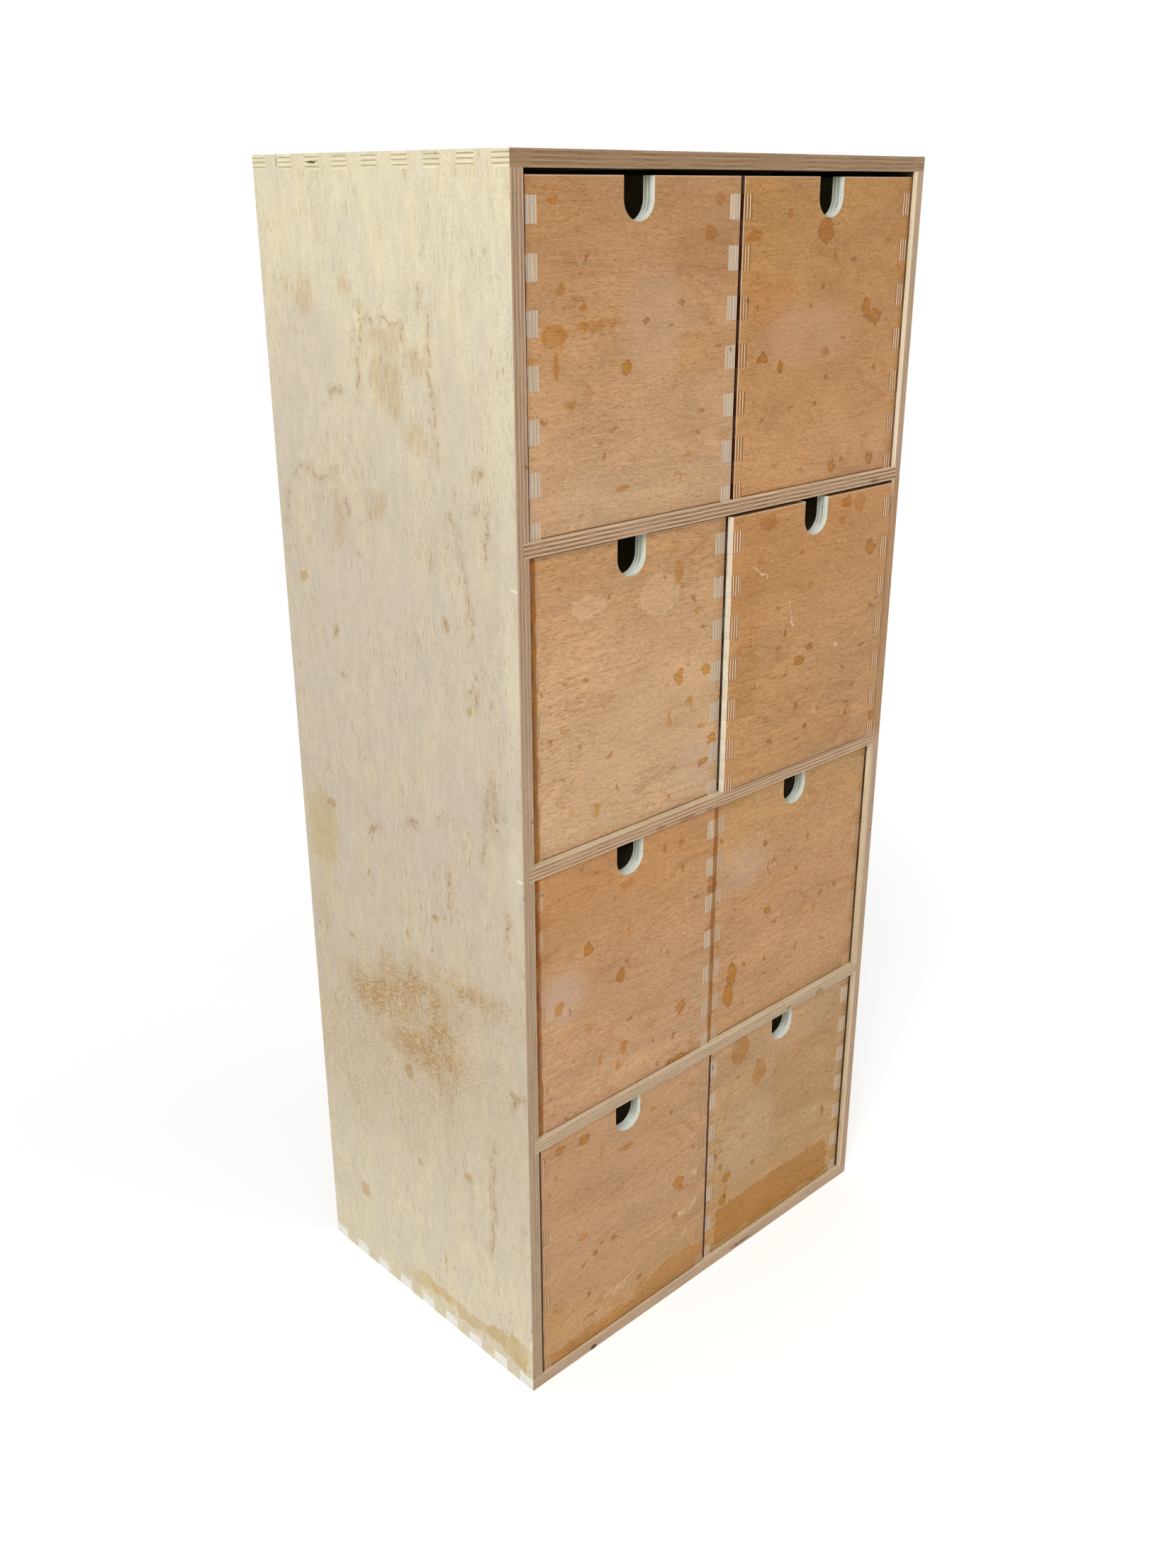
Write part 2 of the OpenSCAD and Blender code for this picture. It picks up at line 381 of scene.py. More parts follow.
GREY_WATER = [(70, 700, 34, 26), (100, 660, 20, 40), (-62, 680, 14, 40), (104, 470, 16, 60),
              (-4, 560, 40, 24), (60, 560, 30, 60)]
LIT = [(-110, 640, 8, 54), (-112, 520, 8, 60), (-6, 788, 30, 12), (-104, 672, 4, 22),
       (-112, 400, 5, 40)]
SCUFFS = [(-41, 583, 0.8, 9), (-19, 594, 0.7, 5), (-53, 546, 3, 5), (-73, 496, 2, 4),
          (-30, 342, 4, 3.4), (84, 389, 5, 4), (9, 205, 4.5, 6.5), (-107, 239, 5, 2.5),
          (-107, 234, 1.2, 4), (-55, 148, 5, 4), (1, 130, 3, 3), (62, 518, 1.4, 4), (59, 489, 3, 1.6),
          (35, 385, 3, 2.4), (43, 350, 2, 3), (70, 291, 4, 2), (-26, 316, 1.5, 2.4), (2, 318, 2, 3),
          (97, 549, 5, 4), (-90, 640, 3, 2.4), (-12, 405, 5, 1.5), (46, 673, 4, 1.5), (48, 246, 0.9, 3),
          (-84, 168, 0.8, 9), (-78, 148, 0.8, 14), (-24, 56, 1, 10), (75, 66, 5, 7)]
RUBBED = [(-62, 298, 26, 5), (-8, 276, 34, 12), (30, 258, 34, 12), (-31, 240, 15, 25),
          (-4, 228, 30, 12), (46, 250, 20, 12)]
SCRATCHED = [(0, 250, 100, 48), (74, 190, 52, 60), (20, 200, 70, 60)]
NICKS = [(-116, 578, 3, 0.7), (-116, 398, 3, 0.8), (-118, 40, 1.4, 4)]
FINGER_SLITS = [(93, 801, 0.5, 3.5)]
WET_FOOT = [(-38, 22, 80, 6), (-104, 26, 12, 9)]
# How far the scratches of the rubbed patch lean from the level
SLANT = math.radians(-14)


def left_side_marks(wood, colour):
    at = wood.flat(Y)
    wander = wood.wobble(at, (16, 12))
    damp = wood.step(wood.spots(wander, GREY_WATER, 8), 8, -12, 0.4)
    colour = wood.mix(damp, colour, SIDE_GREY)
    lit = wood.step(wood.spots(wander, LIT, 8), 5, -6, 0.45)
    colour = wood.mix(lit, colour, shade(228, 218, 188))
    water = wood.step(wood.spots(wander, OLD_WATER, 5), 4, -6)
    streaks = wood.math("ADD", wood.patches((1.6, 9, 16), 3, 0.40, 0.62, at, 0.5), 0.5)
    colour = wood.stain(wood.times(water, streaks), colour, (0.86, 0.77, 0.62))
    yellow = wood.step(wood.spots(wander, YELLOWED, 5), 5, -7, 0.8)
    colour = wood.stain(yellow, colour, (0.92, 0.86, 0.64))
    colour = wood.stain(tide_marks(wood, at, TIDE_MARKS), colour, (0.66, 0.54, 0.38))
    # Fine checks in the grain, here and there
    checks = wood.patches((0.9, 9, 10), 2, 0.59, 0.67, at)
    groups = wood.patches((34, 34, 60), 2, 0.42, 0.56, wood.aside(at))
    colour = wood.stain(wood.times(checks, groups), colour, (0.74, 0.64, 0.50))
    # The rubbed patch: dirt held by upright fibres, crossed by scratches that run down to the back
    leaning = wood.put("ShaderNodeVectorRotate", {"Vector": at, "Angle": SLANT}, rotation_type="Y_AXIS")
    fibres = wood.patches((1.2, 9, 8), 2, 0.48, 0.60, at)
    scratches = wood.patches((7, 9, 1.2), 2, 0.46, 0.58, leaning)
    rubbed = wood.step(wood.spots(wander, RUBBED, 5), 12, -8)
    rubbed = wood.times(rubbed, wood.patches(22, 3, 0.26, 0.54, at))
    colour = wood.stain(wood.times(rubbed, 0.4), colour, (0.92, 0.76, 0.50))
    rubbed = wood.times(rubbed, wood.math("MAXIMUM", fibres, scratches))
    colour = wood.stain(rubbed, colour, (0.78, 0.61, 0.39))
    # Finer scratches and speckle round about it
    scratched = wood.step(wood.spots(wander, SCRATCHED, 10), 16, -16, 0.7)
    dashes = wood.patches((6, 9, 1.2), 2, 0.50, 0.66, leaning)
    speckle = wood.patches((2.2, 9, 2.2), 2, 0.46, 0.62, at, 0.6)
    scratched = wood.times(scratched, wood.math("MAXIMUM", dashes, speckle))
    colour = wood.stain(scratched, colour, (0.81, 0.73, 0.60))
    # Scuffs and drips, the water line above the foot, and chips in the front arris
    colour = wood.stain(scuff_marks(wood, at, SCUFFS, 0.75), colour, (0.78, 0.62, 0.40))
    wet = wood.step(wood.slabs(wood.wobble(at, (26, 14), (5, 3)), WET_FOOT, 5), 1.5, -2)
    wet = wood.times(wet, wood.step(wood.part(at, X), 46, -10))
    soaked = wood.math("ADD", wood.patches(14, 3, 0.36, 0.60, at, 0.4), 0.55)
    colour = wood.stain(wood.times(wet, soaked), colour, (0.86, 0.71, 0.46))
    nicks = wood.step(wood.spots(wood.wobble(at, (3, 1.4)), NICKS), 0.4, -0.4)
    colour = wood.mix(nicks, colour, shade(240, 230, 206))
    slits = wood.step(wood.spots(wood.wobble(at, (3, 0.6)), FINGER_SLITS), 0.2, -0.3, 0.85)
    return wood.stain(slits, colour, (0.30, 0.26, 0.20))


left = Finish("birch, left side")
plain = side_face(left)
colour = left.mix(left.looks(X), plain, left_side_marks(left, plain))
faded = left.step(left.part(left.place, Z), 620, 420, 0.55)
colour = left.mix(left.edge(X), colour, case_edges(left, X, faded=faded))
finish_board(boards["case_left_side"], left.done(colour, Z))

RIGHT_EDGE = (192, 164, 136), (160, 132, 104), (130, 103, 80)
# The arris inside the right edge: painted pale beside some rows as a highlight, and brown beside the
# second
ARRIS_HIGHLIGHT_HEIGHTS = [
    (0.23, (214, 190, 158)),
    (0.27, (200, 176, 146)),
    (0.48, (200, 176, 146)),
    (0.52, (166, 122, 82)),
    (0.72, (166, 122, 82)),
    (0.76, (234, 214, 180)),
]
RIGHT_TIDES = [
    [(-60, 700), (-30, 716), (-2, 704), (8, 660), (2, 612)],
    [(40, 470), (62, 486), (84, 470), (90, 420), (84, 372)],
    [(-20, 214), (0, 222), (30, 214), (52, 180), (56, 138)],
    [(-92, 560), (-90, 500)],
]
RIGHT_SCUFFS = [(-70, 500, 4, 6), (40, 560, 3, 5), (-20, 330, 5, 3), (80, 250, 4, 7), (-90, 120, 5, 4)]
# The colour of the painted shade in the gaps beside the fronts
GAP_SHADE = shade(58, 34, 20)
# The painted shade beside each drawer's front, in millimetres: where it starts before the front,
# how far it goes over the front's height, the depth it covers and where that fades
SHADE_START, SHADE_OVER, SHADE_DEPTH, SHADE_FADE = 0.7, 4, 120, (-46, -4)
# The middle and half the height of the second row, where the edge is browner
SECOND_ROW = (500, 97)
# The inner face of the right side, painted whiter as light, and whiter towards the top
LINING_HEIGHTS = [(0.2, (214, 193, 158)), (0.8, (240, 228, 202))]


def shade_inside(wood, outside, colour):
    """Painted shade on a face that meets a drawer's front: dark at the front and paler further in."""
    share = wood.times(wood.step(outside, 0.4, -0.4), wood.step(outside, *SHADE_FADE))
    painted_light_share = wood.math("MULTIPLY_ADD", wood.noise(12, 3), 0.4, 0.74)
    return wood.mix(wood.times(share, painted_light_share), colour, GAP_SHADE)


right = Finish("birch, right side")
at = right.flat(Y)
colour = side_face(right)
colour = right.stain(tide_marks(right, at, RIGHT_TIDES), colour, (0.70, 0.60, 0.46))
colour = right.stain(scuff_marks(right, at, RIGHT_SCUFFS, 0.6), colour, (0.78, 0.62, 0.42))
shaded_slabs = []
for row in ROWS:
    low, high = (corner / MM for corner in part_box(f"drawer_{row}_right_front"))
    middle = low.y - SHADE_START + SHADE_DEPTH / 2
    height = (high.z - low.z) / 2 + SHADE_OVER
    shaded_slabs.append((middle, (low.z + high.z) / 2, SHADE_DEPTH / 2, height))
# The inner face, painted whiter as light, with painted shade beside the fronts of the drawers
lining = right.ramp(right.part(right.share, Z), LINING_HEIGHTS)
lining = right.birch(Z, lining, shade(226, 206, 170))
lining = shade_inside(right, right.slabs(at, shaded_slabs, 1), lining)
colour = right.mix(right.looks(X), colour, lining)
edges = case_edges(right, X, RIGHT_EDGE, uneven=0.7)
brown = right.math("COMPARE", right.part(right.place, Z), *SECOND_ROW)
edges = right.stain(brown, edges, (0.96, 0.80, 0.62))
# Painted highlight: pale colours by height on the inmost plies of the front edge
arris = right.ramp(right.part(right.share, Z), ARRIS_HIGHLIGHT_HEIGHTS)
arris = right.vary(arris, right.noise((3, 3, 30), 3), 0.25)
inmost = right.times(right.step(right.part(right.share, X), 0.34, 0.22), right.looks(Y))
edges = right.mix(inmost, edges, arris)
colour = right.mix(right.edge(X), colour, edges)
finish_board(boards["case_right_side"], right.done(colour, Z))


# ---- Top and bottom boards of the case ----
# Two 9 mm boards that lie across, fingered into the sides and glued. Their front edges run the
# full width, darker at the top, and the ends of their fingers show pale in the sides.

TOP_EDGE = (161, 130, 97), (137, 106, 73), (93, 70, 46)
TOP_FINGERS = (234, 222, 188), (176, 164, 128), (198, 186, 150)
BOTTOM_FINGERS = (250, 248, 240), (238, 235, 224), (216, 211, 196)
BOTTOM_EDGE = (202, 174, 144), (169, 141, 113), (130, 105, 82)
BOARD_FACE = shade(213, 197, 168)
BOARD_WARM = shade(203, 182, 142)

# For each board its front edge and finger ends, how uneven the edge is, and its slits and knots:
# the way their face looks, the axis across it, their spots and their tint
CASE_BOARDS = {
    "case_top": (TOP_EDGE, TOP_FINGERS, 0.9, X, Y, [(56, 800.2, 4.5, 0.7)], (0.16, 0.13, 0.10)),
    "case_bottom": (BOTTOM_EDGE, BOTTOM_FINGERS, 0.7, Y, X,
                    [(43, 3.2, 12, 0.7), (-121, 1.8, 3.2, 1.9)], (0.22, 0.16, 0.12)),
}

for name, (front, ends, uneven, face, across, slits, tint) in CASE_BOARDS.items():
    board = Finish("birch, " + name.replace("_", " "))
    colour = board.birch(X, BOARD_FACE, BOARD_WARM)
    colour = board.mix(board.edge(Z), colour, case_edges(board, Z, front, ends, uneven))
    slits = board.step(board.spots(board.wobble(board.flat(across), (3, 0.8)), slits), 0.3, -0.3)
    colour = board.stain(board.times(slits, board.looks(face)), colour, tint)
    finish_board(boards[name], board.done(colour, X))


# ---- Shelves ----
# Three boards that divide the rows, each let into a groove in both sides so that only its front
# edge shows. The edges have brown plies, small knots and fillings, and are a little dirty.

SHELF_EDGES = {
    "shelf_1": ((204, 172, 138), (142, 109, 78), (100, 72, 50)),
    "shelf_2": ((202, 170, 136), (158, 126, 95), (120, 92, 67)),
    "shelf_3": ((201, 175, 144), (173, 147, 118), (140, 113, 87)),
}
SHELF_KNOTS = [(126, 200, 5, 2.5), (88, 201, 3, 1.5), (-34, 397, 8, 1.8), (-60, 398, 5, 1.6),
               (150, 598, 4, 2), (-12, 397, 3, 1.2)]

for name, edge in SHELF_EDGES.items():
    shelf = Finish("birch, " + name.replace("_", " "))
    colour = shelf.birch(X, BOARD_FACE, BOARD_WARM)
    colour = shelf.mix(shelf.edge(Z), colour, shelf.plies(Z, edge, uneven=0.5))
    knots = shelf.step(shelf.spots(shelf.wobble(shelf.flat(X), (3, 1)), SHELF_KNOTS), 0.6, -0.6)
    colour = shelf.stain(shelf.times(knots, shelf.edge(Z)), colour, (0.70, 0.60, 0.50))
    finish_board(boards[name], shelf.done(colour, X))


# ---- Back panel ----
# A thin sheet of three-ply birch that lies in a rebate round the back of the case. It is
# unfinished, darker with age than the case, and has cloudy water marks with broken outlines.

DAMP_CLOUDS = [(-70, 590, 40, 50), (96, 300, 40, 70), (-30, 90, 90, 40), (120, 720, 30, 40)]
THIN_EDGE = (196, 172, 136), (160, 132, 98), (120, 94, 66)

panel = Finish("thin birch sheet")
colour = panel.birch(Z, shade(199, 178, 143), shade(186, 160, 120))
at = panel.flat(X)
damp = panel.spots(panel.wobble(at, (30, 26), (6, 5)), DAMP_CLOUDS, 10)
colour = panel.stain(panel.step(damp, 8, -14, 0.35), colour, (0.86, 0.78, 0.64))
line = panel.times(panel.rim(damp, 1.6, 0.45, 0.2), panel.patches(24, 2, 0.46, 0.60, at))
colour = panel.stain(line, colour, (0.80, 0.69, 0.52))
colour = panel.stain(panel.patches(3, 1, 0.74, 0.80, at), colour, (0.72, 0.60, 0.46))
colour = panel.mix(panel.edge(Y), colour, panel.plies(Y, THIN_EDGE, plies=3))
finish_board(boards["back_panel"], panel.done(colour, Z, rough=(0.55, 0.75)))


# ---- Panel pins ----
# Twenty-four thin steel pins, driven flush through the back panel into the rebate. Their heads
# are dull, with scratches from the hammer and a few spots of rust.

pins = Finish("steel of the pins")
rust = pins.patches(1.3, 3, 0.52, 0.66)
colour = pins.mix(rust, shade(158, 158, 162), shade(122, 84, 56))
colour = pins.vary(colour, pins.noise(0.3, 2), 0.3)
pins.shader.inputs["Metallic"].default_value = 0.85
scratches = pins.noise((0.2, 0.2, 1.2), 2)
pins.tree.links.new(colour, pins.shader.inputs["Base Color"])
pins.tree.links.new(pins.math("MULTIPLY_ADD", scratches, 0.4, 0.25), pins.shader.inputs["Roughness"])
boards["back_pins"].data.materials.clear()
boards["back_pins"].data.materials.append(pins.material)


# ---- Sides and backs of the drawers ----
# Each drawer is a box of 9 mm birch plywood, finger-jointed at its four corners. The ends of its
# sides show in the front: whitish on some drawers, hardly seen or with brown lines on others.

BOX_FACE = shade(222, 204, 172)
BOX_WARM = shade(208, 186, 148)
PALE = (207, 184, 159), (184, 163, 140), (158, 135, 111)
FAINT = (188, 148, 108), (200, 166, 130), (166, 124, 84)
DIM = (208, 184, 156), (180, 154, 126), (154, 128, 102)
GREY = (192, 160, 128), (186, 152, 118), (166, 134, 102)
MILD = (176, 132, 92), (208, 172, 132), (136, 96, 62)
LINED = (160, 112, 68), (248, 216, 176), (100, 64, 36)
# Painted shade along the foot of each front, in the gap below it
FOOT_SHADE = (0.24, 0.14, 0.08)
# Painted shade along the arrises in the gaps: black, and brown that is partly dirt, darker in its core
BLACK_SHADE = (0.08, 0.025, 0.01)
BROWN_SHADE_AND_DIRT = (0.62, 0.42, 0.17)
BROWN_CORE = (0.52, 0.38, 0.22)
BLACK_BLUR, BROWN_BLUR = 0.25, 0.9
# How far before the front beside it the painted shade on a drawer's left face starts
BESIDE_START = 0.6
# How wide the painted shade is along the left arris of a drawer, the brown partly dirt, and the
# rubbed wood beside it. Far is how wide the brown shade and dirt is along the right arris.
GAP_LINES = {
    (1, "left"): dict(shade_and_dirt_width=0.9), (1, "right"): dict(shade_and_dirt_width=1.3, rubbed=0.9),
    (2, "left"): dict(shade_and_dirt_width=7.0, tint=BROWN_SHADE_AND_DIRT),
    (3, "left"): dict(shade_and_dirt_width=5.6, tint=BROWN_SHADE_AND_DIRT, far=2.6),
    (3, "right"): dict(shade_and_dirt_width=1.9, tint=BROWN_SHADE_AND_DIRT),
    (4, "left"): dict(shade_and_dirt_width=2.3), (4, "right"): dict(shade_and_dirt_width=2.4),
}
FINGER_ENDS = {
    (1, "left"): (PALE, PALE), (1, "right"): (LINED, LINED),
    (2, "left"): (FAINT, PALE), (2, "right"): (LINED, LINED),
    (3, "left"): (FAINT, DIM), (3, "right"): (GREY, FAINT),
    (4, "left"): (MILD, MILD), (4, "right"): (DIM, DIM),
}
# The left faces of the right drawers, which show in the gaps: the first painted dark all over as
# shade, the second painted pale as a highlight, and the last three with painted shade behind
# the front of the drawer beside them
LEFT_FACES = {
    (1, "right"): dict(face=shade(60, 28, 14), warm=shade(48, 20, 10), shine=0.0),
    (2, "right"): dict(face=shade(238, 230, 210), warm=shade(230, 219, 194), hidden=True),
    (3, "right"): dict(hidden=True),
    (4, "right"): dict(hidden=True),
}


def gap_line(wood, across, colour, shade_and_dirt_width, rubbed=0, tint=BLACK_SHADE):
    """Painted shade along an arris, as wide as given, and the rubbed wood beside it. The brown,
    partly dirt, is blurred, and darker along its middle."""
    brown = tint is BROWN_SHADE_AND_DIRT
    blur = BROWN_BLUR if brown else BLACK_BLUR
    wander = wood.math("MULTIPLY_ADD", wood.noise(14, 3), 4 * blur, -2 * blur)
    edge = wood.math("ADD", across, wander)
    marked = colour
    if rubbed:
        beside = wood.step(edge, shade_and_dirt_width + rubbed + 0.2, shade_and_dirt_width + rubbed - 0.2, 0.7)
        marked = wood.mix(beside, marked, shade(226, 194, 156))
    marked = wood.stain(wood.step(edge, shade_and_dirt_width + blur, shade_and_dirt_width - blur), marked, tint)
    if brown:
        core = wood.step(edge, shade_and_dirt_width - 1.2, shade_and_dirt_width - 2.6)
        core = wood.times(core, wood.step(wander, -0.6, 0.8))
        marked = wood.stain(core, marked, BROWN_CORE)
    return wood.mix(wood.looks(Y), colour, marked)


def gap_lines(wood, row, column, colour):
    """All the painted shade along the left and right arrises of one drawer, the brown partly dirt."""
    low, high = (corner.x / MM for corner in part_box(f"drawer_{row}_{column}_front"))
    across = wood.part(wood.place, X)
    near = dict(GAP_LINES.get((row, column), {}))
    far = near.pop("far", 0)
    if near:
        colour = gap_line(wood, wood.math("SUBTRACT", across, low), colour, **near)
    if far:
        across = wood.math("SUBTRACT", high, across)
        colour = gap_line(wood, across, colour, far, tint=BROWN_SHADE_AND_DIRT)
    return colour


def shade_beside(wood, row, colour):
    """Painted shade on the left face of a right drawer, behind the front of the drawer beside it."""
    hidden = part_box(f"drawer_{row}_left_front")[0].y / MM - BESIDE_START
    outside = wood.math("SUBTRACT", hidden, wood.part(wood.place, Y))
    return wood.mix(wood.looks(X), colour, shade_inside(wood, outside, colour))


def box_side(row, column, board, face=BOX_FACE, warm=BOX_WARM, shine=0.2, hidden=False):
    side = Finish(f"birch, {board} side of drawer {row} {column}")
    colour = side.birch(Y, face, warm)
    if hidden:
        colour = shade_beside(side, row, colour)
    ends = FINGER_ENDS[row, column][COLUMNS.index(board)]
    thin, line = (0, 0.016) if ends in (PALE, DIM, GREY) else (0.3, 0.022)
    edges = gap_lines(side, row, column, side.plies(X, ends, thin=thin, line=line))
    return side.done(side.mix(side.edge(X), colour, edges), Y, shine=shine)


back = Finish("birch, drawer back")
colour = back.birch(X, BOX_FACE, BOX_WARM)
back_material = back.done(back.mix(back.edge(Y), colour, back.plies(Y, PALE)), X)

for row in ROWS:
    for column in COLUMNS:
        box = f"drawer_{row}_{column}_"
        left_face = LEFT_FACES.get((row, column), {})
        finish_board(boards[box + "left_side"], box_side(row, column, "left", **left_face))
        finish_board(boards[box + "right_side"], box_side(row, column, "right"))
        finish_board(boards[box + "back"], back_material)


# ---- Bottoms of the drawers ----
# Thin birch sheets, each held in a groove that runs round the inside of its drawer.

sheet = Finish("thin birch sheet, drawer bottoms")
colour = sheet.birch(X, shade(212, 193, 158), shade(198, 174, 132))
colour = sheet.mix(sheet.edge(Z), colour, sheet.plies(Z, PALE, plies=3))
bottom_material = sheet.done(colour, X, rough=(0.5, 0.7))
for row in ROWS:
    for column in COLUMNS:
        finish_board(boards[f"drawer_{row}_{column}_bottom"], bottom_material)


# ---- Fronts of the drawers ----
# 9 mm boards faced with a reddish tan veneer, with the grain running across. Each has a U-shaped
# finger pull, cut through and sanded round at its rim, where the pale plies show. All are
# spotted with old drips, darker at their rims, and the lowest right one has stood in a spill.

BARE = (214, 194, 160), (190, 164, 128), (154, 128, 96)
# Plies of the first right front's edges, painted dark as shade in its gap
SHADED_PLIES = (66, 32, 16), (54, 26, 13), (42, 20, 11)
# The top edges of the fronts, darker: partly their own colour and partly painted shade under the
# shelves
TOP_OF_FRONT = (142, 106, 74), (122, 90, 62), (96, 68, 46)
# The edges of the second right front, which stands proud: pale birch painted paler as a highlight
CREAM = (238, 230, 208), (232, 222, 198), (214, 202, 176)
PULL = (226, 228, 214), (198, 202, 186), (152, 160, 142)
PULL_RIM = shade(232, 236, 226)
# Half the width and the depth of a pull, and how round its rim and the other arrises are
PULL_HALF, PULL_DEPTH, RIM_ROUND, ARRIS_ROUND = 12, 23.5, 1.4, 0.25
# Streaks of the veneer from wide to fine: their size, their detail and how much they vary it
VENEER_GRAIN = [((70, 9, 26), 4, 0.22), ((30, 9, 2.0), 4, 0.22), ((5, 9, 0.9), 3, 0.38)]
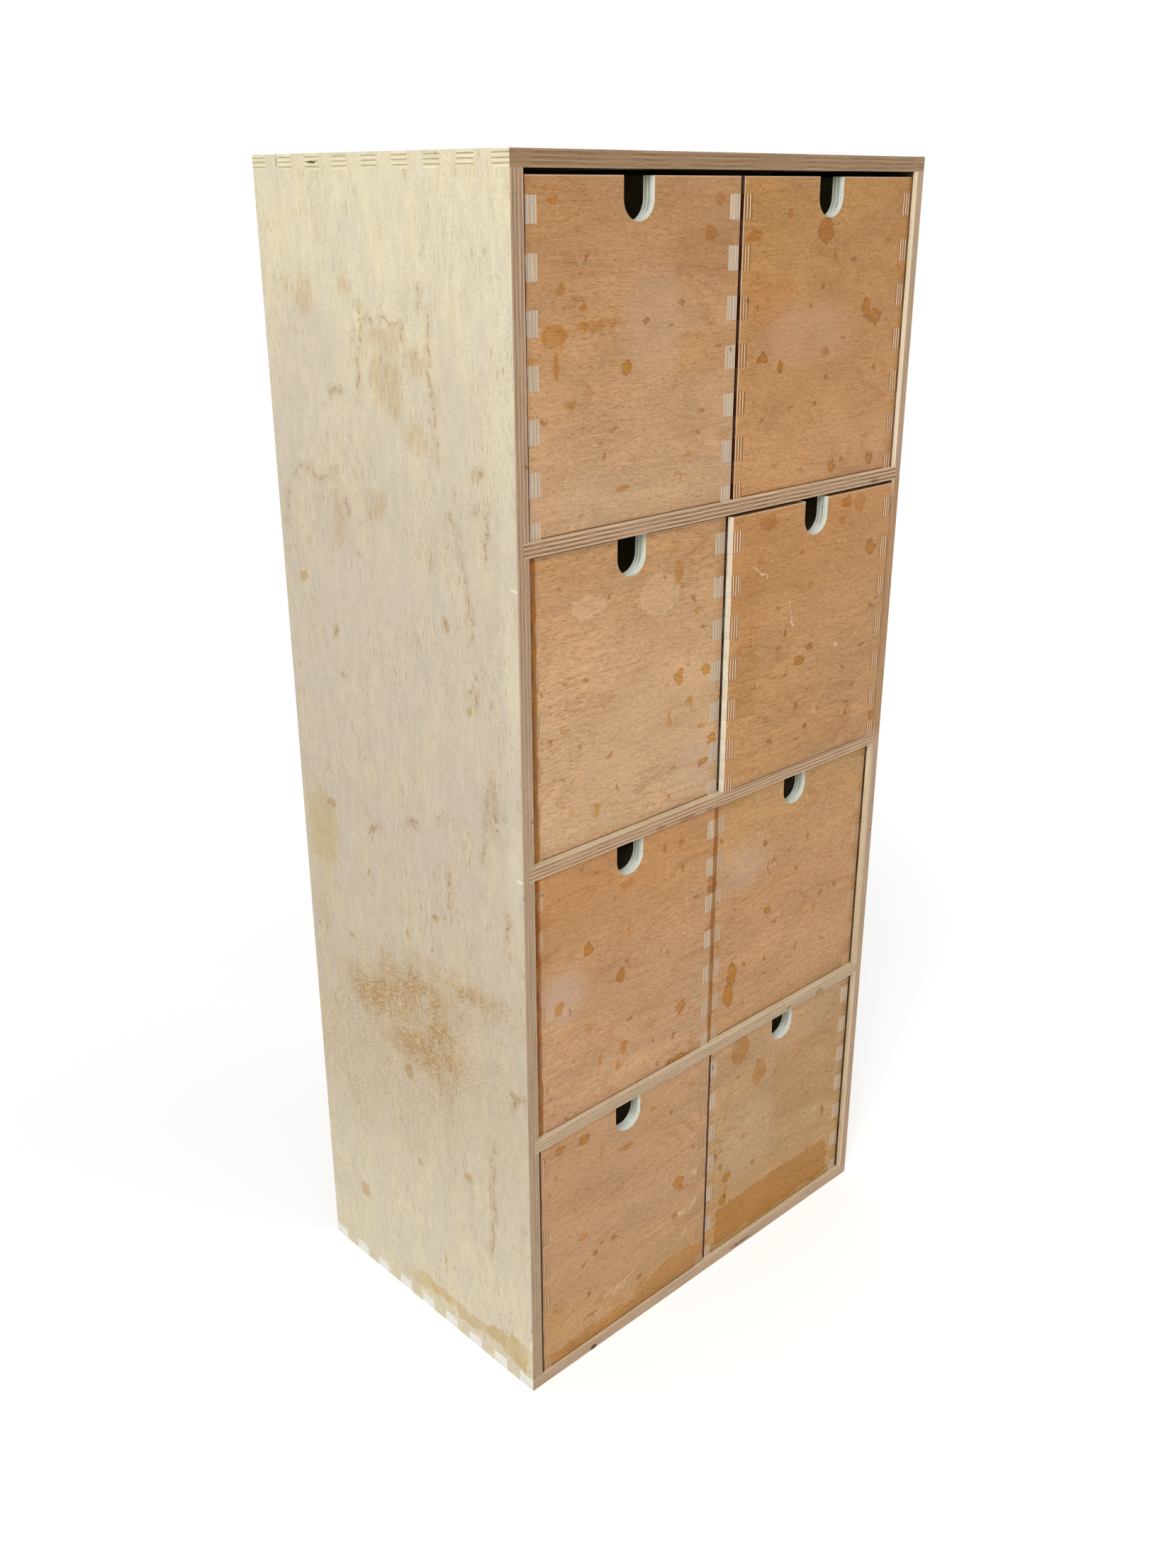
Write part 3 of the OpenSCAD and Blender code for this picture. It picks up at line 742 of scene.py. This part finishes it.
# Marks by their place from the lower left corner of the front
FRONTS = {
    (1, "left"): dict(
        tones=((195, 156, 117), (189, 145, 100), (176, 130, 83)),
        drips=[(19, 176, 3.5, 2), (25, 132, 3, 3.5), (21, 108, 9, 6), (57, 112, 18, 3),
               (22, 92, 2, 6.5), (4, 96, 3, 2), (32, 71, 5, 2.5), (140, 58, 3, 1.5),
               (131, 34, 3.5, 2.5), (73, 20, 4, 2), (144, 158, 5, 3.5), (151, 176, 4, 2.5),
               (42, 122, 3, 2), (125, 21, 7, 1)],
        strong=[(76, 88, 4, 4)],
        specks=[(120, 121, 2.5, 1.5), (112, 108, 1.5, 1), (91, 112, 2, 2.5), (55, 48, 1.5, 1),
                (66, 55, 2.5, 1), (36, 126, 2, 1), (12, 64, 2.5, 1), (58, 40, 1.5, 1), (44, 147, 2, 1),
                (153, 94, 2.5, 1.5), (137, 45, 2, 1), (41, 8, 2.5, 1)],
        bands=[(137, 148, 24, 12), (143, 92, 25, 12.5)],
        haze=[(98, 110, 24, 30), (53, 14, 24, 14)]),
    (1, "right"): dict(
        tones=((192, 144, 96), (182, 133, 80), (174, 126, 70)),
        drips=[(46, 168, 3, 2), (13, 156, 7, 3.5), (110, 104, 3, 2), (86, 84, 3.5, 2.5),
               (41, 17, 3.5, 2), (92, 142, 2, 2), (162, 134, 3, 2.5)],
        strong=[(81, 157, 7, 7.5), (128, 109, 4.5, 5.5), (136, 104, 8.5, 4), (140, 100, 2, 3),
                (24, 84, 4, 3), (42, 78, 2, 4), (101, 9, 3.5, 3), (143, 10, 4, 4)],
        specks=[(89, 67, 2.5, 1.5), (112, 12, 1.5, 1.5), (152, 100, 2, 1.5), (141, 70, 2, 1.5),
                (105, 92, 2.5, 1), (79, 52, 2, 1.5), (135, 26, 3, 1), (111, 140, 3, 1),
                (82, 124, 2.5, 1.5), (26, 46, 1.5, 1), (68, 10, 2, 1), (70, 112, 2, 1),
                (147, 150, 3, 1), (18, 114, 1.5, 2), (54, 52, 2, 1)],
        bands=[(31, 114, 21, 19)],
        haze=[(66, 96, 46, 18)],
        edges=SHADED_PLIES),
    (2, "left"): dict(
        tones=((204, 167, 128), (202, 162, 121), (190, 146, 100)),
        drips=[(146, 132, 3.5, 2), (116, 102, 3, 2), (138, 72, 4.5, 3), (29, 80, 3.5, 3),
               (121, 64, 2, 4), (34, 24, 3, 2.5), (55, 20, 3.5, 4), (152, 53, 3, 2), (125, 30, 2, 2),
               (137, 106, 2.5, 2), (126, 160, 4.5, 7)],
        strong=[(129, 91, 4, 4.5), (154, 90, 3, 3), (162, 40, 3.5, 4), (154, 26, 4, 2)],
        specks=[(130, 152, 2, 1.5), (114, 159, 2, 1), (66, 156, 1.5, 2), (141, 140, 2, 2),
                (150, 120, 2, 1), (11, 106, 2, 2), (46, 108, 2, 1), (30, 109, 2, 1), (27, 48, 1.5, 1),
                (74, 30, 1, 2), (41, 66, 1.5, 1), (117, 88, 1.5, 1), (138, 97, 1.5, 1),
                (17, 75, 1.5, 1), (66, 54, 2.5, 1), (121, 10, 1.5, 1)],
        # The band along the left arris is painted shade
        bands=[(0.6, 94, 2, 94)],
        haze=[(144, 20, 18, 22)],
        pale=[(110, 149, 16.5, 12.5), (49, 152, 13, 6)]),
    (2, "right"): dict(
        tones=((184, 138, 89), (186, 141, 92), (183, 132, 80)),
        drips=[(114, 170, 3.5, 3.5), (82, 130, 3.5, 2.5), (9, 98, 3, 2), (99, 38, 3, 2),
               (35, 180, 8, 5), (136, 2, 3.5, 2), (29, 156, 4.5, 2.5), (133, 180, 6, 6)],
        strong=[(118, 182, 5.5, 4), (149, 146, 6, 4.5), (167, 16, 4.5, 3), (74, 78, 4.5, 3),
                (86, 86, 3.5, 1.5)],
        specks=[(58, 100, 1.5, 3), (74, 46, 1.5, 3), (86, 28, 2.5, 2), (47, 25, 2.5, 2),
                (132, 34, 3, 2), (133, 26, 2, 2), (126, 62, 3, 1), (138, 46, 3, 1.5), (146, 75, 4, 1.5),
                (159, 107, 2, 1.5), (155, 102, 2.5, 1), (60, 70, 2, 1), (72, 154, 2, 1.5),
                (76, 20, 2, 1), (28, 70, 1, 2.5), (22, 99, 1, 1.5), (52, 92, 2, 1), (49, 120, 2, 1)],
        bands=[(17, 100, 12, 52)],
        pale=[(95, 37, 2.5, 1)],
        scratches=[[(22, 152), (36, 144)], [(60, 122), (66, 104)], [(108, 84), (120, 80)]],
        edges=CREAM),
    (3, "left"): dict(
        tones=((197, 154, 115), (190, 146, 103), (188, 138, 88)),
        drips=[(21, 89, 4, 4.5), (48, 64, 4, 2), (80, 35, 3.5, 5), (75, 24, 2, 5), (130, 75, 3.5, 3.5),
               (82, 158, 7, 3.5), (100, 14, 2.5, 2.5), (165, 95, 2, 3.5), (85, 123, 1, 5.5),
               (58, 35, 1.5, 4), (5, 30, 5, 7)],
        strong=[(47, 123, 3.5, 5), (77, 92, 4, 4), (137, 43, 4, 4.5), (134, 2, 10, 2),
                (165, 129, 3.5, 7)],
        specks=[(42, 181, 2, 2), (54, 175, 2, 1), (118, 172, 2, 1.5), (133, 173, 3, 2), (83, 101, 2, 2),
                (116, 97, 1, 2), (123, 92, 1, 3), (86, 55, 2, 2), (56, 58, 2, 1), (110, 28, 1.5, 1),
                (114, 7, 1, 3), (26, 3, 2, 1), (136, 152, 2.5, 2), (147, 141, 1.5, 1), (30, 85, 1, 2),
                (151, 125, 2, 1), (130, 22, 1.5, 3), (71, 151, 1, 1.5)],
        # The first band, along the left arris, is painted shade
        bands=[(0.6, 94, 2.4, 94), (7, 140, 5, 24)],
        haze=[(24, 96, 19, 18)],
        milky=0.45,
        pale=[(130, 152, 1, 1), (141, 125, 1, 1.5)]),
    (3, "right"): dict(
        tones=((189, 146, 103), (190, 144, 99), (187, 144, 94)),
        drips=[(7, 80, 2.5, 9.5), (117, 69, 2, 5)],
        strong=[(23, 46, 5, 9), (20, 30, 5, 9), (61, 86, 3.5, 2.5)],
        specks=[(55, 141, 2.5, 2.5), (65, 125, 2.5, 2), (59, 122, 1, 4), (61, 116, 1, 2),
                (125, 79, 1.5, 1.5), (141, 80, 1.5, 2), (37, 49, 1.5, 2.5), (130, 37, 2.5, 1.5),
                (12, 129, 1, 1), (15, 129, 1, 1), (60, 46, 1.5, 2.5), (96, 42, 1, 3.5),
                (60, 33, 1.5, 1), (37, 16, 2, 1.5), (92, 11, 1.5, 1.5), (104, 133, 1.5, 3.5),
                (83, 90, 1, 2), (70, 73, 1.5, 1.5), (93, 109, 2, 1), (5, 159, 1.5, 1),
                (68, 40, 1.5, 1)],
        haze=[(34, 131, 27, 18.5)],
        milky=0.3),
    (4, "left"): dict(
        tones=((194, 152, 103), (190, 148, 110), (187, 145, 105)),
        drips=[(20, 180, 4, 3), (111, 169, 4, 2), (151, 171, 3.5, 2.5), (40, 96, 5, 3.5),
               (142, 84, 2, 3), (84, 150, 5.5, 2), (59, 160, 1, 7), (76, 151, 2, 1.5)],
        strong=[(139, 90, 5, 5), (42, 177, 4, 3.5)],
        specks=[(53, 75, 2.5, 2.5), (136, 61, 3.5, 2.5), (71, 78, 3, 1.5), (59, 81, 1.5, 1),
                (129, 157, 2, 2), (16, 159, 1.5, 1), (41, 70, 2, 1.5), (98, 27, 2.5, 3), (46, 42, 2, 2),
                (48, 22, 5, 1), (154, 115, 2.5, 1), (5, 112, 1, 1.5), (79, 65, 1.5, 1)],
        bands=[(10, 35, 12, 16)],
        pale=[(141, 61, 6, 2), (73, 31, 11, 3), (160, 91, 6, 2)],
        spill=[(48, 4, 56, 7), (134, 10, 40, 12)],
        soak=0.8,
        scratches=[[(160, 66), (150, 58), (140, 61)], [(92, 36), (76, 31), (64, 22), (52, 19)],
                   [(150, 44), (138, 30)], [(112, 22), (98, 12)]]),
    (4, "right"): dict(
        tones=((190, 149, 96), (184, 148, 104), (185, 147, 106)),
        drips=[(24, 52, 1, 7), (36, 174, 10, 13), (60, 145, 8, 11), (44, 94, 2.5, 2)],
        strong=[(26, 64, 3.5, 4), (22, 44, 3.5, 5)],
        specks=[(18, 77, 2, 3.5), (12, 90, 2.5, 2), (67, 97, 2, 1), (123, 95, 1.5, 1.5),
                (145, 69, 2, 6.5), (34, 151, 2, 1.5), (151, 167, 3.5, 1.5), (80, 136, 2, 1.5),
                (58, 62, 2, 2), (49, 61, 1.5, 1), (18, 92, 2, 1), (146, 106, 2, 1)],
        bands=[(118, 115, 40, 34)],
        haze=[(50, 87, 32, 38)],
        pale=[(134, 75, 3.5, 1)],
        spill=[(84, 21, 70, 17)]),
}


def front_veneer(row, column, tones, drips, specks, strong=(), bands=(), haze=(), pale=(), spill=(),
                 edges=BARE, milky=0.18, soak=1.0, scratches=()):
    """The finish of one front, with its own marks. The tones are those of its foot, middle and
    top, milky is how strong the haze is, and soak is how dark the spill is."""
    wood = Finish(f"veneer, front {row} {column}")
    low, high = (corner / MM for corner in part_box(f"drawer_{row}_{column}_front"))
    width, height = high.x - low.x, high.z - low.z
    at = wood.flat(X, (low.x, low.z))
    across, up = wood.part(at, X), wood.part(at, Z)
    colour = wood.ramp(wood.part(wood.share, Z), list(zip((0.1, 0.5, 0.9), tones)))
    # The grain: soft growth rings, streaks, and short dark and light pores
    rings = wood.math("FRACT", wood.times(wood.noise((150, 9, 48), 1), 15))
    kept = wood.patches((60, 9, 30), 1, 0.46, 0.62)
    rings = wood.times(wood.step(rings, 0.45, 1.0, 0.8), kept)
    colour = wood.stain(rings, colour, (0.89, 0.80, 0.68))
    bent = wood.wobble(wood.place, (120, 9))
    for size, detail, amount in VENEER_GRAIN:
        colour = wood.vary(colour, wood.noise(size, detail, bent), amount)
    pores = wood.patches((3.4, 9, 0.8), 1, 0.60, 0.68, bent, 0.85)
    colour = wood.stain(pores, colour, (0.74, 0.60, 0.42))
    flecks = wood.patches((3.4, 9, 0.8), 1, 0.62, 0.72, wood.aside(), 0.28)
    colour = wood.mix(flecks, colour, shade(218, 180, 134))
    # Darker oiled bands, milky haze and pale scars of worn finish; a band along a left arris is painted
    # shade
    tremor = wood.wobble(at, (14, 5), (3, 1.6))
    if bands:
        share = wood.step(wood.slabs(tremor, bands), 3, -3, 0.45)
        colour = wood.stain(share, colour, (0.92, 0.80, 0.60))
    if haze:
        share = wood.step(wood.spots(tremor, haze, 6), 10, -10, milky)
        colour = wood.mix(share, colour, shade(204, 174, 156))
    outline = wood.wobble(at, (5, 4), (1.7, 1.7))
    if pale:
        outside = wood.spots(outline, pale)
        colour = wood.mix(wood.step(outside, 0.6, -0.6, 0.22), colour, shade(226, 190, 152))
        colour = wood.mix(wood.rim(outside, 1, 0.2), colour, shade(236, 204, 166))
    # Drips with darker rims, and specks
    tone = wood.patches(17, 1, 0.36, 0.64, at)
    outside = wood.spots(outline, drips)
    inside = wood.times(wood.step(outside, 0.4, -0.7), wood.math("MULTIPLY_ADD", tone, 0.5, 0.5))
    share = wood.math("MULTIPLY_ADD", wood.rim(outside, 0.9, 0.5), tone, inside)
    colour = wood.stain(share, colour, (0.85, 0.66, 0.31))
    if strong:
        outside = wood.spots(outline, strong)
        colour = wood.stain(wood.step(outside, 0.3, -0.6), colour, (0.86, 0.66, 0.22))
        colour = wood.stain(wood.rim(outside, 0.8, 0.85), colour, (0.62, 0.46, 0.30))
    share = wood.step(wood.spots(outline, specks), 0.6, -0.4, 0.85)
    colour = wood.stain(share, colour, (0.68, 0.50, 0.32))
    if spill:
        outside = wood.slabs(wood.wobble(at, (16, 7), (3, 2)), spill, 12)
        colour = wood.stain(wood.step(outside, 1, -1, soak), colour, (0.86, 0.68, 0.36))
        colour = wood.stain(wood.rim(outside, 2.5, 0.2 * soak, 0.2), colour, (0.74, 0.58, 0.38))
    if scratches:
        away = wood.strokes(wood.wobble(at, (7, 3)), scratches)
        share = wood.times(wood.step(away, 1.2, 0.2, 0.65), wood.patches(5, 1, 0.36, 0.56, at))
        colour = wood.mix(share, colour, shade(232, 206, 174))
    # Painted shade in the gap below, a painted highlight along the arris above, and the plies in the
    # edges
    colour = wood.stain(wood.step(up, 1.3, 0.3, 0.85), colour, FOOT_SHADE)
    # Painted highlight along the top arris
    painted_light_share = wood.step(up, height - 0.8, height - 0.3, 0.6)
    colour = wood.mix(painted_light_share, colour, shade(224, 190, 160))
    # The top edges take darker plies, partly painted shade under the shelf
    upper = wood.step(wood.part(wood.facing, Z), 0.5, 0.8)
    sawn = wood.mix(upper, wood.plies(Y, edges), wood.plies(Y, TOP_OF_FRONT))
    # Painted shade on the left edge of a right front, behind the drawer beside it
    if column == "right":
        sawn = shade_beside(wood, row, sawn)
    # The wall of the pull: grey lines inside, plain at the rounded rim and along its bottom
    wall = wood.plies(Y, PULL, thin=0.3, line=0.045)
    at_rim = wood.math("MAXIMUM", wood.step(wood.part(wood.share, Y), 0.36, 0.22),
                       wood.step(wood.part(wood.facing, Z), 0.4, 0.85))
    wall = wood.mix(at_rim, wall, wood.vary(PULL_RIM[:3], wood.noise(1.6, 3), 0.25))
    beside = wood.math("ABSOLUTE", wood.math("SUBTRACT", across, width / 2))
    reach = PULL_HALF + RIM_ROUND
    in_pull = wood.times(wood.step(beside, reach + 0.45, reach - 0.05), wood.step(up, 160, 162))
    colour = wood.mix(wood.edge(Y), colour, wood.mix(in_pull, sawn, wall))
    # The arrises are paler, partly worn and partly a painted highlight, most of all round the pull, and
    # the painted shade of the gaps lies over them
    tilt = wood.math("ABSOLUTE", wood.part(wood.facing, Y))
    arris = wood.times(wood.step(tilt, 0.97, 0.9), wood.step(tilt, 0.2, 0.35))
    above = wood.math("MULTIPLY_ADD", wood.step(up, 158, 166), 0.5, 0.2)
    colour = wood.mix(wood.times(arris, above), colour, shade(226, 206, 176))
    return wood.done(gap_lines(wood, row, column, colour), X, rough=(0.42, 0.6))


def front_board(name, node):
    """The board of a front, with the rim of its pull sanded round and its arrises eased."""
    low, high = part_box(node)
    middle = (low.x + high.x) / 2
    made = bmesh.new()
    made.from_mesh(boards[node].data)
    bmesh.ops.remove_doubles(made, verts=made.verts, dist=TOUCHING)
    bmesh.ops.dissolve_limit(made, angle_limit=FLAT, verts=made.verts, edges=made.edges)

    def sharp(edge):
        return len(edge.link_faces) == 2 and edge.calc_face_angle() > SHARP

    def on_rim(edge):
        """On the outline of the pull in the front or the back face. The short level edge at its
        bottom is left to be eased with the other arrises."""
        start, end = (vert.co for vert in edge.verts)
        here = (start + end) / 2
        return (abs(here.x - middle) < (PULL_HALF + 0.5) * MM
                and here.z > high.z - (PULL_DEPTH + 0.5) * MM
                and start.z != end.z and abs(start.y - end.y) < MM)

    for wanted, offset, segments in ((on_rim, RIM_ROUND, 4), (sharp, ARRIS_ROUND, 2)):
        edges = [edge for edge in made.edges if sharp(edge) and wanted(edge)]
        bmesh.ops.bevel(made, geom=edges, offset=offset * MM, offset_type="OFFSET",
                        segments=segments, profile=0.5, affect="EDGES", clamp_overlap=True)
    mesh = bpy.data.meshes.new(name)
    made.to_mesh(mesh)
    made.free()
    mesh.shade_smooth()
    mesh.set_sharp_from_angle(angle=math.radians(28))
    board = bpy.data.objects.new(name, mesh)
    bpy.context.scene.collection.objects.link(board)
    return board


for (row, column), marks in FRONTS.items():
    node = f"drawer_{row}_{column}_front"
    board = front_board(f"front_{row}_{column}", node)
    board.data.materials.append(front_veneer(row, column, **marks))
    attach(board, f"drawer_{row}_{column}")
    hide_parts(node)


# ---- Studio ----
# A pale floor that shows white round a soft shadow, a white surround, a large soft lamp at the
# upper left and a weaker one at the right, and the camera at the angle of the photograph.

floor_mesh = bpy.data.meshes.new("floor")
floor_mesh.from_pydata([(-6, -6, 0), (6, -6, 0), (6, 6, 0), (-6, 6, 0)], [], [(0, 1, 2, 3)])
floor = bpy.data.objects.new("floor", floor_mesh)
bpy.context.scene.collection.objects.link(floor)
floor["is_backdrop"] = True
ground = Finish("floor")
ground.shader.inputs["Roughness"].default_value = 0.9
ground.shader.inputs["Specular IOR Level"].default_value = 0.0
ground.shader.inputs["Base Color"].default_value = (0.8, 0.8, 0.8, 1)
rays = ground.tree.nodes.new("ShaderNodeLightPath").outputs
mirrored = ground.math("MAXIMUM", rays["Is Glossy Ray"], rays["Is Transmission Ray"])
seen = ground.math("MAXIMUM", rays["Is Camera Ray"], mirrored)
ground.shader.inputs["Emission Color"].default_value = (1, 1, 1, 1)
away = ground.vector("LENGTH", ground.vector("MULTIPLY", ground.place, (1, 1, 0)), output=1)
white = ground.math("ADD", ground.step(away, 500, 1500, 0.22), 0.38)
ground.tree.links.new(ground.times(seen, white), ground.shader.inputs["Emission Strength"])
floor.data.materials.append(ground.material)

world = bpy.data.worlds.new("surround")
bpy.context.scene.world = world
world.use_nodes = True
sky = world.node_tree
# How bright the surround is as a lamp and to the eye
AS_LAMP, AS_SEEN = 0.55, 1.0


def larger(one, other):
    node = sky.nodes.new("ShaderNodeMath")
    node.operation = "MAXIMUM"
    sky.links.new(one, node.inputs[0])
    sky.links.new(other, node.inputs[1])
    return node.outputs[0]


rays = sky.nodes.new("ShaderNodeLightPath").outputs
mirrored = larger(rays["Is Glossy Ray"], rays["Is Transmission Ray"])
strength = sky.nodes.new("ShaderNodeMapRange")
sky.links.new(larger(rays["Is Camera Ray"], mirrored), strength.inputs[0])
strength.inputs[3].default_value = AS_LAMP
strength.inputs[4].default_value = AS_SEEN
backdrop = sky.nodes["Background"]
backdrop.inputs[0].default_value = (1, 1, 1, 1)
sky.links.new(strength.outputs[0], backdrop.inputs[1])


def soft_lamp(name, place, power, size):
    lamp = bpy.data.lights.new(name, "AREA")
    lamp.energy = power
    lamp.shape = "DISK"
    lamp.size = size
    holder = bpy.data.objects.new(name, lamp)
    holder.location = place
    aim = Vector((0, 0, 0.4)) - holder.location
    holder.rotation_euler = aim.to_track_quat("-Z", "Y").to_euler()
    bpy.context.scene.collection.objects.link(holder)


soft_lamp("main lamp", (-2.3, -1.5, 2.1), 50, 1.6)
soft_lamp("side lamp", (2.2, -1.8, 1.4), 16, 1.6)

camera_data = bpy.data.cameras.new("camera")
camera_data.lens = 33.487
camera_data.sensor_width = 36
camera = bpy.data.objects.new("camera", camera_data)
camera.location = (-0.69873, -0.71745, 0.78618)
camera.rotation_euler = [math.radians(angle) for angle in (67.7792, 0.0422, -43.7566)]
bpy.context.scene.collection.objects.link(camera)
bpy.context.scene.camera = camera
bpy.context.scene.view_settings.view_transform = "Standard"


# ---- Sizes ----
# The box of the dressed cabinet, without the floor.

low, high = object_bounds()
